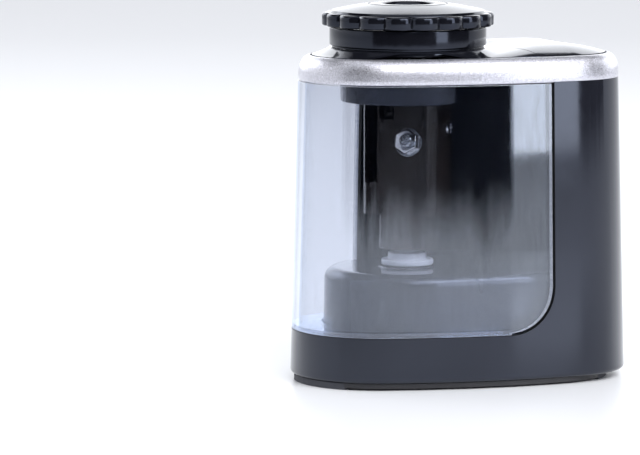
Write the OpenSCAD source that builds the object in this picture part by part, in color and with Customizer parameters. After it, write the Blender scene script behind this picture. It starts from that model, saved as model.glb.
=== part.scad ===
// Battery pencil sharpener: an upright oval body with a clear shavings bin at the nose,
// a scalloped dial over the cutter, and a battery column at the rear.
// The origin is the centre of the footprint on the table. +X runs to the rear of the
// body, -Y is the wide front face with the window, and +Z is up.

/* [Body] */
// Length of the base along X
body_len = 86; // [85:0.5:88]
// Width of the base along Y
body_w = 56; // [55.5:0.5:58]
// Radius that the long sides bow out with
side_r = 130; // [125:1:140]
// Corner radius of the rear
tail_r = 20; // [19:0.5:20.5]
// Wall of the housing
wall = 2; // [1.8:0.1:2.2]

/* [Heights] */
// Underside of the housing skirt
skirt_z = 1.8; // [1.6:0.1:2]
// Top of the skirt, where the bin stands
floor_z = 13.1; // [13:0.1:13.4]
// Top of the gear cover at the nose
cover_z = 28.4; // [28.2:0.1:28.5]
// Underside of the silver band
band_z = 76; // [75.8:0.1:76.2]
// Top edge of the silver band
rim_z = 82.4; // [82.2:0.1:82.6]
// Underside of the dial collar
collar_z = 84.3; // [84.2:0.1:84.4]
// Underside of the turning dial
dial_z = 89.6; // [89.4:0.1:89.8]
// Overall height
body_h = 96; // [95.8:0.1:96.4]

/* [Cutter] */
// Distance of the cutter axis from the middle of the body, towards the nose
axis_back = 12.5; // [12:0.5:13]
// Bore of the pencil hole
pencil_d = 8.2; // [8:0.1:8.4]
// Angle that the cutter holder rests at
holder_turn = -45; // [-60:5:-30]
// Travel when a pencil is pressed in
press_travel = 1.2; // [1:0.1:1.4]

/* [Drive] */
// Teeth on the crown gear
crown_teeth = 60;
// Teeth on the motor pinion
pinion_teeth = 10;
// Tooth module
tooth_module = 0.6;
// Height of the motor shaft
motor_z = 14.8; // [14.7:0.1:14.9]

/* [Dial] */
// Number of finger lobes round the dial
lobes = 18; // [16:1:20]
// Radius over the lobes
dial_r = 22; // [21.6:0.1:22.2]
// Radius of the collar and of the cap
collar_r = 19.8; // [19.6:0.1:19.9]

/* [Hidden] */
$fn = 64;
eps = 0.01;
ax = -axis_back;
x_nose = -body_len / 2;
x_tail = body_len / 2;
half_w = body_w / 2;
// The widest section, and the arcs that meet the bowed sides without a corner
wide_x = 13;
side_y = side_r - half_w;
nose_len = wide_x - x_nose;
nose_r = (2 * side_r * half_w - half_w * half_w - nose_len * nose_len)
    / (2 * (side_r - nose_len));
nose_cx = x_nose + nose_r;
nose_turn = atan2(side_y, nose_cx - wide_x);
tail_cx = x_tail - tail_r;
tail_cy = sqrt(pow(side_r - tail_r, 2) - pow(tail_cx - wide_x, 2)) - side_y;
tail_turn = atan2(side_y + tail_cy, tail_cx - wide_x);
skin_inset = 0.6;
seam_x = 16.4;
far_edge_x = -17.5;
window_corner_r = 12;
partition_lean = 4.4;
cover_r = 21.3;
cover_rear_x = 23;
tray_x = 39;
tray_w = 28;
tray_z = 25.6;
pitch_r = crown_teeth * tooth_module / 2;
pinion_r = pinion_teeth * tooth_module / 2;
tooth_mid_z = motor_z + pinion_r;
crown_disc_z = tooth_mid_z + 0.8;
crown_disc_t = 2;
motor_x0 = 10.5;
motor_x1 = 32.5;
motor_r = 11.9;
motor_half_h = 9;
cell_d = 14.5;
cell_x = 30.2;
cell_y = 7.7;
cell_z = 27.4;
cell_h = 49.2;
nub_h = 1.3;
door_arc_r = 64;
door_arc_x = 74.2;
crown_sphere_r = 150;
crown_peak_z = 84.9;
crown_peak_x = 12;
deck_z = 80.4;
plinth_z = 0.5;
foot_top_z = 1.7;
holder_flange_z = 75.4;
holder_tube_z = 33.1;
snap_top_z = 85.4;
bearing_r = 7.1;
shaft_r = 2;
shaft_fit = 0.03;
cone_end_z = 44;
cone_slope = 11.5;
guide_r = 4.2;
screw_offset = 2.8;
fastener_z = 59.5;
coil_turns = 3;
round_steps = 8;

// ---- shared shapes ----

// Points along an arc about [cx, cy] from angle a0 to a1
function arc(cx, cy, r, a0, a1, n) =
    [for (i = [0:n]) [cx, cy] + r * [cos(a0 + (a1 - a0) * i / n), sin(a0 + (a1 - a0) * i / n)]];

// Footprint of the body, drawn in by `inset`: a round nose, bowed sides, round rear corners
module outline(inset) {
    far_half = concat(
        arc(tail_cx, tail_cy, tail_r - inset, 0, tail_turn, 12),
        arc(wide_x, -side_y, side_r - inset, tail_turn + 4, nose_turn - 4, 3),
        arc(nose_cx, 0, nose_r - inset, nose_turn, 175, 10)
    );
    near_half = [for (i = [len(far_half) - 1:-1:0]) [far_half[i][0], -far_half[i][1]]];
    polygon(concat(far_half, near_half));
}

// A wall that follows the footprint
module ring_wall(inset, thick, z0, z1) {
    translate([0, 0, z0]) linear_extrude(z1 - z0) difference() {
        outline(inset);
        outline(inset + thick);
    }
}

module tube(r_out, r_in, z0, z1) {
    translate([ax, 0, z0]) difference() {
        cylinder(r = r_out, h = z1 - z0);
        translate([0, 0, -1]) cylinder(r = r_in, h = z1 - z0 + 2);
    }
}

// Gear cover footprint: a round nose, a straight bridge and a narrower battery deck
module cover_outline(grow) {
    translate([ax, 0]) circle(cover_r + grow);
    translate([ax, -cover_r - grow]) square([cover_rear_x - ax + grow, 2 * (cover_r + grow)]);
    translate([cover_rear_x - 4, -tray_w / 2 - grow])
        square([tray_x - cover_rear_x + 4 + grow, tray_w + 2 * grow]);
}

module screw_head(r, h, slot_depth) {
    difference() {
        cylinder(r = r, h = h);
        for (a = [0, 90])
            rotate(a) translate([-r * 0.62, -r * 0.14, h - slot_depth])
                cube([r * 1.24, r * 0.28, slot_depth + 1]);
    }
}

// ---- housing ----

// Everything behind the bin: the near side from the window, the far side from the nose
module rear_zone() {
    difference() {
        translate([seam_x - window_corner_r, -half_w - 1, 0]) cube([body_len, half_w + 1, 100]);
        window_hole();
    }
    translate([far_edge_x, 0, 0]) cube([body_len, half_w + 1, 100]);
}

// The window leaves a rounded lower corner in the near wall
module window_hole() {
    low_z = floor_z - 0.02;
    rotate([90, 0, 0]) linear_extrude(half_w + 2) {
        translate([x_nose, low_z]) square([seam_x - window_corner_r - x_nose, 100]);
        translate([x_nose, low_z + window_corner_r]) square([seam_x - x_nose, 100]);
        translate([seam_x - window_corner_r, low_z + window_corner_r]) circle(window_corner_r);
    }
}

module partition() {
    inner = half_w - skin_inset - 0.2;
    difference() {
        translate([0, 0, floor_z - eps]) linear_extrude(band_z - floor_z)
            polygon([
                [seam_x, -inner], [seam_x + wall, -inner],
                [seam_x + partition_lean + wall, inner], [seam_x + partition_lean, inner]
            ]);
        translate([0, 0, floor_z - 1]) linear_extrude(cover_z + 0.3 - floor_z + 1)
            cover_outline(0.3);
    }
}

module housing() color("#16171b") difference() {
    union() {
        ring_wall(0, wall, skirt_z, floor_z);
        translate([0, 0, floor_z - wall]) linear_extrude(wall) difference() {
            outline(0.5);
            cover_outline(0.2);
        }
        intersection() {
            ring_wall(skin_inset, wall, floor_z - 0.5, band_z);
            rear_zone();
        }
        partition();
        for (i = [0:2]) screw_boss(i);
    }
    for (i = [0:2])
        translate([base_screw_x(i), base_screw_y(i), 0]) cylinder(d = 1.9, h = 10.5);
}

// One screw under the nose and one in front of each rear foot
function base_screw_x(i) = i == 0 ? x_nose + 5.9 : 26.6;
function base_screw_y(i) = i == 0 ? 0 : i == 1 ? -18 : 18;

module screw_boss(i) {
    translate([base_screw_x(i), base_screw_y(i), 3.4]) cylinder(d = 5, h = floor_z - 4.4);
}

// ---- base ----

// The plinth stands further in at the rear than round the nose
module plinth_outline(inset) {
    intersection() {
        outline(1.1 + inset);
        translate([-4, 0]) outline(1.1 + inset);
    }
}

module bottom_plate() color("#1b1c20") difference() {
    union() {
        translate([0, 0, plinth_z]) linear_extrude(foot_top_z - plinth_z) plinth_outline(0);
        translate([0, 0, foot_top_z - eps]) linear_extrude(1.5) outline(wall + 0.25);
        translate([ax, 0, 3]) cylinder(r = 5.5, h = 4);
    }
    translate([ax, 0, 3.2]) cylinder(r = 3.5, h = 10);
    for (i = [0:2]) {
        translate([base_screw_x(i), base_screw_y(i), 0]) cylinder(d = 2.4, h = 10);
        translate([base_screw_x(i), base_screw_y(i), 0]) cylinder(d = 5, h = 1.9);
    }
    for (i = [0:2])
        translate([0, 0, -1]) linear_extrude(foot_top_z + 1) foot_zone(i, 0);
}

// Where each foot goes: across the nose, then each rear corner
module foot_zone(i, gap) {
    if (i == 0)
        translate([x_nose - 1, -15 + gap]) square([9 - gap, 30 - 2 * gap]);
    else
        mirror([0, i == 1 ? 1 : 0])
            translate([30.5 + gap, 10 + gap]) square([20, 20]);
}

module foot(i) color("#8b8d92") linear_extrude(foot_top_z - 0.05) difference() {
    intersection() {
        plinth_outline(0.05);
        foot_zone(i, 0.05);
    }
    translate([base_screw_x(0), 0]) circle(d = 5.4);
}

module base_screw(i) color("#b9bcc4") translate([base_screw_x(i), base_screw_y(i), 0]) {
    translate([0, 0, 1.9]) rotate([180, 0, 0]) screw_head(2.2, 1.2, 0.6);
    translate([0, 0, 1.8]) cylinder(d = 1.9, h = 6.5);
}

// ---- gearbox ----

module gear_cover() color("#24262c") difference() {
    union() {
        translate([0, 0, 3.4]) linear_extrude(tray_z - 3.4) cover_outline(0);
        translate([0, 0, tray_z - eps]) linear_extrude(cover_z - tray_z) intersection() {
            cover_outline(0);
            translate([x_nose, -half_w]) square([seam_x - x_nose - 0.4, body_w]);
        }
    }
    translate([0, 0, 3]) linear_extrude(tray_z - 1.6 - 3) cover_outline(-1.3);
    translate([ax, 0, 0]) cylinder(r = cover_r - 1.3, h = cover_z - 1.6);
    translate([ax, 0, 0]) cylinder(r = 4, h = 40);
    for (s = [-1, 1])
        translate([motor_x1 + 3.9, s * 9, 20]) cylinder(d = 1.6, h = 10);
}

module lower_bush() color("#b98a4a") tube(3.5, shaft_r + shaft_fit, 3.2, 7);

module upper_bush() color("#b98a4a") {
    tube(4, shaft_r + shaft_fit, cover_z - 3.4, cover_z);
    tube(5.2, shaft_r + shaft_fit, cover_z - 3.4, cover_z - 1.7);
}

module output_shaft() color("#c3c6cc") translate([ax, 0, 3.4])
    cylinder(r = shaft_r, h = 33 - 3.4);

module crown_tooth() {
    tip_w = 0.5;
    root_w = 0.85;
    rotate([90, 0, 90]) translate([0, 0, -1.2]) linear_extrude(2.4)
        polygon([
            [-tip_w / 2, -1.4], [tip_w / 2, -1.4], [root_w / 2, 0.1], [-root_w / 2, 0.1]
        ]);
}

module crown_gear() color("#e6e2d6") translate([ax, 0, crown_disc_z]) difference() {
    union() {
        cylinder(r = pitch_r + 1.4, h = crown_disc_t);
        translate([0, 0, -7]) cylinder(r = 4, h = 8);
        for (i = [0:crown_teeth - 1])
            rotate(i * 360 / crown_teeth) translate([pitch_r, 0, 0]) crown_tooth();
    }
    for (a = [0:60:300])
        rotate(a) translate([10.5, 0, -1]) cylinder(r = 3.2, h = 4);
    translate([0, 0, -8]) cylinder(r = shaft_r, h = 12);
}

module drive_coupling() color("#e9ebf0") translate([ax, 0, cover_z + 0.5]) difference() {
    union() {
        cylinder(r = 6.6, h = 1.4);
        cylinder(r = 4.85, h = 3.2);
        translate([0, 0, 3.2 - eps]) cylinder(r = 3.1, h = 6);
        for (a = [0, 180])
            rotate(a + holder_turn) translate([0, -0.9, 3.2 - eps]) cube([4.7, 1.8, 6]);
    }
    translate([0, 0, -1]) cylinder(r = shaft_r, h = 33 - cover_z + 0.5);
}

// ---- motor ----

module along_motor(x0) {
    translate([x0, 0, motor_z]) rotate([0, 90, 0]) children();
}

module motor_can() color("#aeb2b8") difference() {
    intersection() {
        union() {
            along_motor(motor_x0) cylinder(r = motor_r, h = motor_x1 - motor_x0);
            along_motor(motor_x0 - 1.6) cylinder(r = 3, h = 2);
        }
        translate([0, -20, motor_z - motor_half_h]) cube([60, 40, 2 * motor_half_h]);
    }
    along_motor(motor_x0 - 2) cylinder(r = 1 + shaft_fit, h = 4);
    along_motor(motor_x0 + 1) cylinder(r = motor_r - 1, h = 40);
}

module motor_end_cap() color("#2b5d8c") intersection() {
    along_motor(motor_x1) difference() {
        union() {
            cylinder(r = motor_r, h = 2);
            cylinder(r = 3.4, h = 3.4);
        }
        translate([0, 0, -1]) cylinder(r = 1 + shaft_fit, h = 3);
    }
    translate([0, -20, motor_z - motor_half_h]) cube([60, 40, 2 * motor_half_h]);
}

module motor_shaft() color("#d2d4d8") {
    along_motor(ax + pitch_r - 2.2) cylinder(r = 1, h = motor_x1 + 1.5 - ax - pitch_r + 2.2);
    along_motor(motor_x0 + 3) cylinder(r = 8.2, h = 17);
}

module pinion() color("#c9a24b") along_motor(ax + pitch_r - 1.6) rotate(pinion_phase())
    difference() {
        union() {
            cylinder(r = pinion_r - 0.75, h = 3.2);
            cylinder(r = 2, h = 4.6);
            for (i = [0:pinion_teeth - 1]) rotate(i * 360 / pinion_teeth)
                linear_extrude(3.2) polygon([
                    [pinion_r - 0.85, -0.42], [pinion_r + 0.5, -0.2],
                    [pinion_r + 0.5, 0.2], [pinion_r - 0.85, 0.42]
                ]);
        }
        translate([0, 0, -1]) cylinder(r = 1, h = 8);
    }

// The teeth stand half a pitch off the vertical, between two crown teeth
function pinion_phase() = 180 / pinion_teeth;

module motor_cradle() color("#2a2c31") difference() {
    union() {
        translate([13, -11, 3.25]) cube([17, 22, 1.2]);
        for (x = [13, 27])
            translate([x, -11, 3.25]) cube([3, 22, 9]);
    }
    intersection() {
        along_motor(0) cylinder(r = motor_r + 0.05, h = 60);
        translate([0, -20, motor_z - motor_half_h - 0.05]) cube([60, 40, 20]);
    }
}

module motor_terminal(s) color("#c8a45a")
    translate([motor_x1 + 2, s * 6 - 1, motor_z - 2]) {
        cube([2.6, 2, 0.4]);
        translate([0, 0, -1.4]) cube([0.4, 2, 1.5]);
    }

module suppressor() color("#d98b3a") translate([motor_x1 + 3.5, 0, motor_z - 6.4]) {
    rotate([0, 90, 0]) cylinder(r = 2.4, h = 1);
    for (s = [-1, 1]) translate([0.5, s * 1.4, 1.8]) cylinder(d = 0.5, h = 3);
}

// ---- batteries ----

module at_cell(i) {
    translate([cell_x, i == 1 ? -cell_y : cell_y, 0]) children();
}

module battery_tray() color("#202226") difference() {
    translate([0, 0, tray_z + 0.02]) linear_extrude(16) intersection() {
        outline(2.9);
        translate([cell_x - 8, -15.8]) square([17.4, 31.6]);
    }
    for (i = [1, 2]) at_cell(i) {
        translate([0, 0, cell_z - 0.2]) cylinder(d = cell_d + 0.5, h = 60);
        translate([0, 0, tray_z + 0.8]) cylinder(d = 10.6, h = 10);
    }
    translate([cell_x + 3.2, -30, cell_z + 5]) cube([20, 60, 30]);
    for (s = [-1, 1])
        translate([motor_x1 + 3.9, s * 9, tray_z - 1]) cylinder(d = 1.6, h = 3);
}

// One cell stands nub up, the other nub down
module cell(i) color("#3b6ea8") at_cell(i) {
    base = i == 1 ? cell_z : cell_z + nub_h;
    translate([0, 0, base]) cylinder(d = cell_d, h = cell_h);
    translate([0, 0, i == 1 ? base + cell_h - eps : cell_z])
        cylinder(d = 5.5, h = nub_h + eps);
}

// A wire wound from radius r0 to r1 while it climbs by rise
module coil(r0, r1, wire, turns, rise) {
    steps = 20;
    last = turns * steps;
    for (k = [0:last - 1])
        hull() for (m = [k, k + 1])
            rotate(m * 360 / steps)
                translate([r0 + (r1 - r0) * m / last, 0, rise * m / last])
                    sphere(d = wire, $fn = 6);
}

module tray_spring() color("#c9ccd2") at_cell(1) translate([0, 0, tray_z + 0.85]) {
    cylinder(r = 5, h = 0.3);
    translate([0, 0, 0.38]) coil(4.4, 2.2, 0.28, 3, 0.22);
}

module tray_plate() color("#c9ccd2") at_cell(2)
    translate([0, 0, tray_z + 0.85]) cylinder(r = 5, h = cell_z - tray_z - 0.95);

// ---- top ----

// A shallow dome: the cap of a large ball
module crown_ball() {
    cap_r = 60;
    translate([crown_peak_x, 0, crown_peak_z - crown_sphere_r]) rotate_extrude($fn = 200)
        intersection() {
            circle(crown_sphere_r, $fn = 360);
            translate([0, crown_sphere_r - 14]) square([cap_r, 20]);
        }
}

module door_plan(grow) {
    intersection() {
        outline(4.9 - grow);
        translate([door_arc_x, 0]) circle(door_arc_r + grow, $fn = 200);
    }
}

module battery_door() color("#1a1b1f") intersection() {
    translate([0, 0, deck_z + 0.05]) linear_extrude(rim_z + 0.7 - deck_z) outline(4.9);
    translate([door_arc_x, 0, deck_z]) cylinder(r = door_arc_r, h = 10, $fn = 200);
}

module door_bridge() color("#c9ccd2") {
    translate([cell_x - 5, -cell_y - 5, deck_z - 0.65]) cube([10, 2 * cell_y + 10, 0.6]);
    for (i = [1, 2])
        at_cell(i) translate([0, 0, cell_z + cell_h + nub_h + 0.2]) cylinder(r = 3.4, h = 2);
}

// Upright below, then a quarter round built from thin level layers
module silver_band() color("#d9dae2") {
    round_z = band_z + 2.8;
    layer = (rim_z - round_z) / round_steps;
    ring_wall(1, 1.6, band_z + 0.05, round_z);
    for (i = [0:round_steps - 1]) {
        inset = 1 + 3.4 * (1 - cos(asin((i + 0.4) / round_steps)));
        z = round_z + i * layer;
        inner = z < deck_z + 0.1 ? 2.7 : 4.6;
        translate([0, 0, z - eps]) linear_extrude(layer + eps) difference() {
            outline(inset);
            outline(inner);
        }
    }
}

// Hollow-curved skirt under the collar
module flare() {
    translate([ax, 0, 0]) rotate_extrude($fn = 128) difference() {
        translate([collar_r - 3, rim_z - 1]) square([6.4, collar_z - rim_z + 1]);
        translate([collar_r + 3.4, collar_z + 1.1]) circle(r = 3, $fn = 96);
    }
}

module deck_plan() {
    difference() {
        outline(4.7);
        door_plan(0.15);
    }
}

module top_cover() color("#17181c") difference() {
    union() {
        intersection() {
            translate([0, 0, deck_z - eps]) linear_extrude(rim_z + 0.5 - deck_z) deck_plan();
            crown_ball();
        }
        translate([0, 0, deck_z - 1.7]) linear_extrude(1.7) outline(2.8);
        intersection() {
            ring_wall(2.8, 1.6, band_z + 0.1, deck_z);
            rear_zone();
        }
        intersection() {
            flare();
            translate([0, 0, 70]) linear_extrude(20) deck_plan();
        }
        tube(collar_r - 0.4, 13.7, 79, collar_z - 0.1);
        tube(17, 15.2, 70.5, 80);
        tube(15.4, 10, 78.1, 79.5);
    }
    translate([ax, 0, 79.5]) cylinder(r = 13.7, h = 10);
    translate([ax, 0, 70]) cylinder(r = 10, h = 20);
    switch_slot();
    translate([0, 0, 70]) linear_extrude(deck_z - 70 + eps) intersection() {
        translate([cell_x - 8, -16]) square(32);
        outline(5.4);
    }
}

module switch_slot() {
    translate([ax - 2.8, 12, 80.9]) cube([5.6, 8.4, 2.8]);
    translate([ax - 2.8, 17.2, 77]) cube([5.6, 3.2, 5]);
}

module dial_collar() color("#0f1013") tube(collar_r, 16.4, collar_z, dial_z - 0.3);

function lobe_r() = dial_r * sin(180 / lobes) * 0.9;

module dial() color("#141519") translate([ax, 0, 0]) difference() {
    union() {
        translate([0, 0, dial_z]) cylinder(r = dial_r - 1.1, h = 3.4);
        for (i = [0:lobes - 1])
            rotate((i + 0.5) * 360 / lobes) translate([dial_r - lobe_r(), 0, dial_z])
                cylinder(r = lobe_r(), h = 3.4);
        translate([0, 0, collar_z + 0.6]) cylinder(r = 16, h = dial_z - collar_z);
    }
    for (i = [0:lobes - 1])
        rotate(i * 360 / lobes) translate([dial_r + 0.5, 0, dial_z - 1])
            cylinder(r = 1.5, h = 6);
    translate([0, 0, collar_z - 1]) cylinder(r = 14.4, h = dial_z - collar_z + 2);
    translate([0, 0, dial_z - 1]) cylinder(r = 10.2, h = 9);
}

module dial_cap() color("#191a1f") translate([ax, 0, 0]) difference() {
    intersection() {
        translate([0, 0, dial_z + 3.4]) cylinder(r = collar_r, h = body_h - dial_z - 3.4);
        translate([0, 0, body_h - 82]) sphere(r = 82, $fn = 200);
    }
    translate([0, 0, dial_z]) cylinder(r = 10.2, h = 9);
}

module pencil_guide() color("#101114") translate([ax, 0, 0]) difference() {
    union() {
        translate([0, 0, 91]) cylinder(r = 10.2, h = body_h - 91);
        translate([0, 0, 86.6]) cylinder(r = 6.2, h = 5);
    }
    translate([0, 0, 80]) cylinder(d = pencil_d, h = 20);
    translate([0, 0, body_h - 2.5]) cylinder(d1 = pencil_d, d2 = 12.6, h = 2.51);
}

// ---- bin ----

module bin_zone(grow) {
    translate([x_nose - 1, -half_w - 1, 0])
        cube([seam_x - 0.15 - x_nose + 1 + grow, half_w + 1, 100]);
    translate([x_nose - 1, -eps, 0])
        cube([far_edge_x - 0.15 - x_nose + 1 + grow, half_w + 1, 100]);
}

module shavings_bin() color("#c9d3e0", 0.35) difference() {
    union() {
        intersection() {
            ring_wall(skin_inset, 1.8, floor_z + 0.15, band_z - 0.25);
            bin_zone(0);
        }
        intersection() {
            translate([0, 0, floor_z + 0.15]) linear_extrude(1.5) outline(skin_inset + 0.5);
            bin_zone(0);
        }
    }
    translate([0, 0, floor_z - 1]) linear_extrude(5) cover_outline(0.5);
    translate([10.5, -half_w + wall + skin_inset - 0.01, floor_z - 1])
        cube([20, 20, 5]);
    difference() {
        translate([seam_x - window_corner_r, -half_w - 1, floor_z - 1])
            cube([window_corner_r + 1, wall + 1.8, window_corner_r + 1.15]);
        translate([seam_x - window_corner_r, -half_w - 2, floor_z + window_corner_r])
            rotate([-90, 0, 0]) cylinder(r = window_corner_r - 0.15, h = 10);
    }
}

// ---- cutter ----

module press_ring() color("#2c2e34") {
    tube(9.5, bearing_r, 77.7, 84);
    difference() {
        tube(13.65, bearing_r, 82.4, 84);
        translate([ax, 0, 0]) rotate(45) translate([12.4, -1, 80]) cube([4, 2, 8]);
    }
    translate([ax - 2.3, 12.6, 82.4]) cube([4.6, 7, 1.2]);
}

module return_spring() color("#c9ccd2") translate([ax, 0, 79.75])
    coil(11.6, 11.6, 0.4, coil_turns, 2.35);

module holder_cone() {
    cylinder(r1 = 0.5, r2 = 0.5 + 18 * tan(cone_slope), h = 18);
    translate([0, 0, 18 - eps]) cylinder(r = guide_r, h = 50);
}

module blade_space(thick, grow) {
    translate([-3.4 - grow, 0.35, 1.2]) rotate([-cone_slope, 0, 0])
        cube([9.3 + 2 * grow, thick, 29]);
}

module in_holder() {
    translate([ax, 0, 0]) rotate(holder_turn) children();
}

module cutter_holder() color("#4a4340", 0.75) in_holder() difference() {
    union() {
        intersection() {
            translate([0, 0, 42]) cylinder(r = 11.1, h = holder_flange_z - 42);
            union() {
                translate([-11.2, -6.2, 40]) cube([22.4, 11.4, 50]);
                translate([-11.2, -9.2, 40]) cube([3, 18.4, 50]);
                translate([8.2, -9.2, 40]) cube([3, 18.4, 50]);
            }
        }
        translate([0, 0, holder_flange_z]) cylinder(r = 12.2, h = 1.9);
        translate([0, 0, holder_flange_z]) cylinder(r = 7.05, h = snap_top_z - holder_flange_z);
        translate([0, 0, 84.15]) cylinder(r1 = 7.05, r2 = 7.5, h = 0.4);
        translate([0, 0, 84.55]) cylinder(r1 = 7.5, r2 = 6.9, h = snap_top_z - 84.55);
        translate([0, 0, holder_tube_z]) cylinder(r = 7.15, h = 43 - holder_tube_z);
    }
    translate([0, 0, cone_end_z]) holder_cone();
    translate([0, 0, 70]) cylinder(r = 4.6, h = 20);
    translate([0, 0, holder_tube_z - 1]) difference() {
        cylinder(r = 5.5, h = 10);
        for (a = [90, 270])
            rotate(a) translate([3.4, -1, 2.4]) cube([4, 2, 20]);
    }
    translate([0, 0, 40]) cylinder(r = 2, h = 5);
    for (i = [0:5])
        rotate(i * 60 + 15) translate([4, -0.7, 79]) cube([6, 1.4, 10]);
    translate([0, 0, cone_end_z]) blade_space(12, 0.1);
    translate([-9, -12, 50]) cube([3.2, 30, 20]);
    translate([-5.2, -12, 66]) cube([4, 9, 5]);
    fastener_axis(-20) cylinder(d = 3.1, h = 40);
    fastener_axis(-20) cylinder(d = 6.6, h = 20 - 6.3);
    translate([7, 0, 64]) rotate([0, 90, 0]) cylinder(d = 2.1, h = 6);
}

// A line square to the blade, through its screw hole
module fastener_axis(along) {
    translate([screw_offset, 0, fastener_z]) rotate([-cone_slope, 0, 0])
        rotate([-90, 0, 0]) translate([0, 0, along]) children();
}

blade_t = 0.8;
blade_face = (fastener_z - cone_end_z) * sin(cone_slope) + 0.12;

module blade() color("#a9adb4") in_holder() difference() {
    translate([0, 0, cone_end_z]) intersection() {
        blade_space(blade_t, 0);
        translate([-20, -20, 0]) cube([40, 60, 60]);
    }
    fastener_axis(-20) cylinder(d = 3.1, h = 40);
    translate([-3.5, 0.2, cone_end_z]) rotate([-cone_slope, 0, 0]) rotate([0, 0, 40])
        cube([3, 1, 60], center = false);
}

module blade_screw() color("#d5d8dd") in_holder() fastener_axis(0) {
    translate([0, 0, blade_face + blade_t + 0.02]) screw_head(2.9, 1.6, 0.9);
    translate([0, 0, -9]) cylinder(d = 3, h = 9 + blade_face + blade_t + 0.1);
}

module blade_nut() color("#e2e5ea") in_holder() fastener_axis(-8.75) difference() {
    union() {
        cylinder(d = 6.3, h = 2.4, $fn = 6);
        translate([0, 0, 1.95]) cylinder(d = 6.5, h = 0.5);
    }
    translate([0, 0, -1]) cylinder(d = 3, h = 5);
}

module stop_screw() color("#d5d8dd") in_holder() translate([0, 0, 64]) rotate([0, 90, 0]) {
    translate([0, 0, 7.2]) cylinder(d = 2, h = 4);
    translate([0, 0, 11.15]) screw_head(1.9, 0.6, 0.35);
}

// ---- switch and leads ----

module start_switch() color("#1d4f8f") translate([ax - 4, 17.4, 70.6]) difference() {
    cube([8, 4.4, 5.2]);
    translate([4, 1.2, 3]) cylinder(d = 1.8, h = 3);
}

module switch_plunger() color("#c23b32") translate([ax, 18.6, 75.1])
    cylinder(d = 1.6, h = 82.4 - 75.1 - 0.1);

module wire_run(points, d) {
    for (k = [0:len(points) - 2]) {
        v = points[k + 1] - points[k];
        translate(points[k]) rotate([0, acos(v[2] / norm(v)), atan2(v[1], v[0])])
            cylinder(d = d, h = norm(v), $fn = 16);
        translate(points[k]) sphere(d = 1.08 * d, $fn = 16);
    }
}

// From a motor terminal up through the roof of the gear cover to the battery tray
module motor_lead(s) {
    x = motor_x1 + 3.9;
    wire_run([[x, s * 6, 13.9], [x, s * 9, 16], [x, s * 9, tray_z + 1]], 1);
}

module lead_red() color("#b3261e") motor_lead(1);

module lead_black() color("#222222") motor_lead(-1);

housing();
bottom_plate();
foot(0);  // foot_nose
foot(1);  // foot_near
foot(2);  // foot_far
base_screw(0);  // base_screw_1
base_screw(1);  // base_screw_2
base_screw(2);  // base_screw_3
gear_cover();
lower_bush();
upper_bush();
output_shaft();
crown_gear();
drive_coupling();
motor_cradle();
motor_can();
motor_end_cap();
motor_shaft();
pinion();
motor_terminal(-1);  // motor_terminal_1
motor_terminal(1);  // motor_terminal_2
suppressor();
battery_tray();
cell(1);  // cell_1
cell(2);  // cell_2
tray_spring();
tray_plate();
battery_door();
door_bridge();
silver_band();
top_cover();
dial_collar();
dial();
dial_cap();
pencil_guide();
shavings_bin();
press_ring();
return_spring();
cutter_holder();
blade();
blade_screw();
blade_nut();
stop_screw();
start_switch();
switch_plunger();
lead_red();
lead_black();
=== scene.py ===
"""Battery pencil sharpener: the finished look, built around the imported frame.

Every length is worked out in millimetres and scaled to metres when a piece is finished.
The origin is the middle of the footprint, +X runs to the rear and -Y is the window side.
"""

import math

import bmesh
import bpy
from mathutils import Matrix, Vector


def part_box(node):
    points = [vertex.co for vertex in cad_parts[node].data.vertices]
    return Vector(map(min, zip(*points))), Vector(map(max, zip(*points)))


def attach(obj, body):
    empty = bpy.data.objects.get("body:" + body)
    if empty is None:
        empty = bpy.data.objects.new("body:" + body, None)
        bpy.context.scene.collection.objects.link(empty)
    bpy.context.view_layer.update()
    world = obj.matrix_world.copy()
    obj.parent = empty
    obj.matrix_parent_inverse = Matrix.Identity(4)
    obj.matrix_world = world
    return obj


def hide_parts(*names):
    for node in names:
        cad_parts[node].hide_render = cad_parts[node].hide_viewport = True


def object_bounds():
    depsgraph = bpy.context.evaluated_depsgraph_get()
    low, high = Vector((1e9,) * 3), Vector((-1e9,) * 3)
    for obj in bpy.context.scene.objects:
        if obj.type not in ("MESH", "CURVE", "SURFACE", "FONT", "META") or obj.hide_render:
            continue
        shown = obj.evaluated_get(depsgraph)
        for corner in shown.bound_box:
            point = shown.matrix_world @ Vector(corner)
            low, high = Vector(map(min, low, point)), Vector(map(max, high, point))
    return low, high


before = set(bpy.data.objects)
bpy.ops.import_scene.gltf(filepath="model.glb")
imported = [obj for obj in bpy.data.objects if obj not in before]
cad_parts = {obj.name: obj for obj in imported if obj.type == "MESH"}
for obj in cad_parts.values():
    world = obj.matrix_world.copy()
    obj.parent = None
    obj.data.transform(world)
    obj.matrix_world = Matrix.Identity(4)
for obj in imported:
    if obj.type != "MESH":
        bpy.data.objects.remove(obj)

bl_info = {
    "name": "Pencil sharpener",
    "version": (1, 0, 0),
    "blender": (4, 5, 0),
    "location": "View3D > Sidebar > Sharpener",
    "description": "Builds the looks of a battery pencil sharpener, piece by piece",
    "category": "Object",
}

MM = 0.001
CAD_LOW, CAD_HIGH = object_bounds()


def box_mm(node):
    """Lowest and highest corners of a frame node, in millimetres"""
    low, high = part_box(node)
    return low / MM, high / MM


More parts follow.
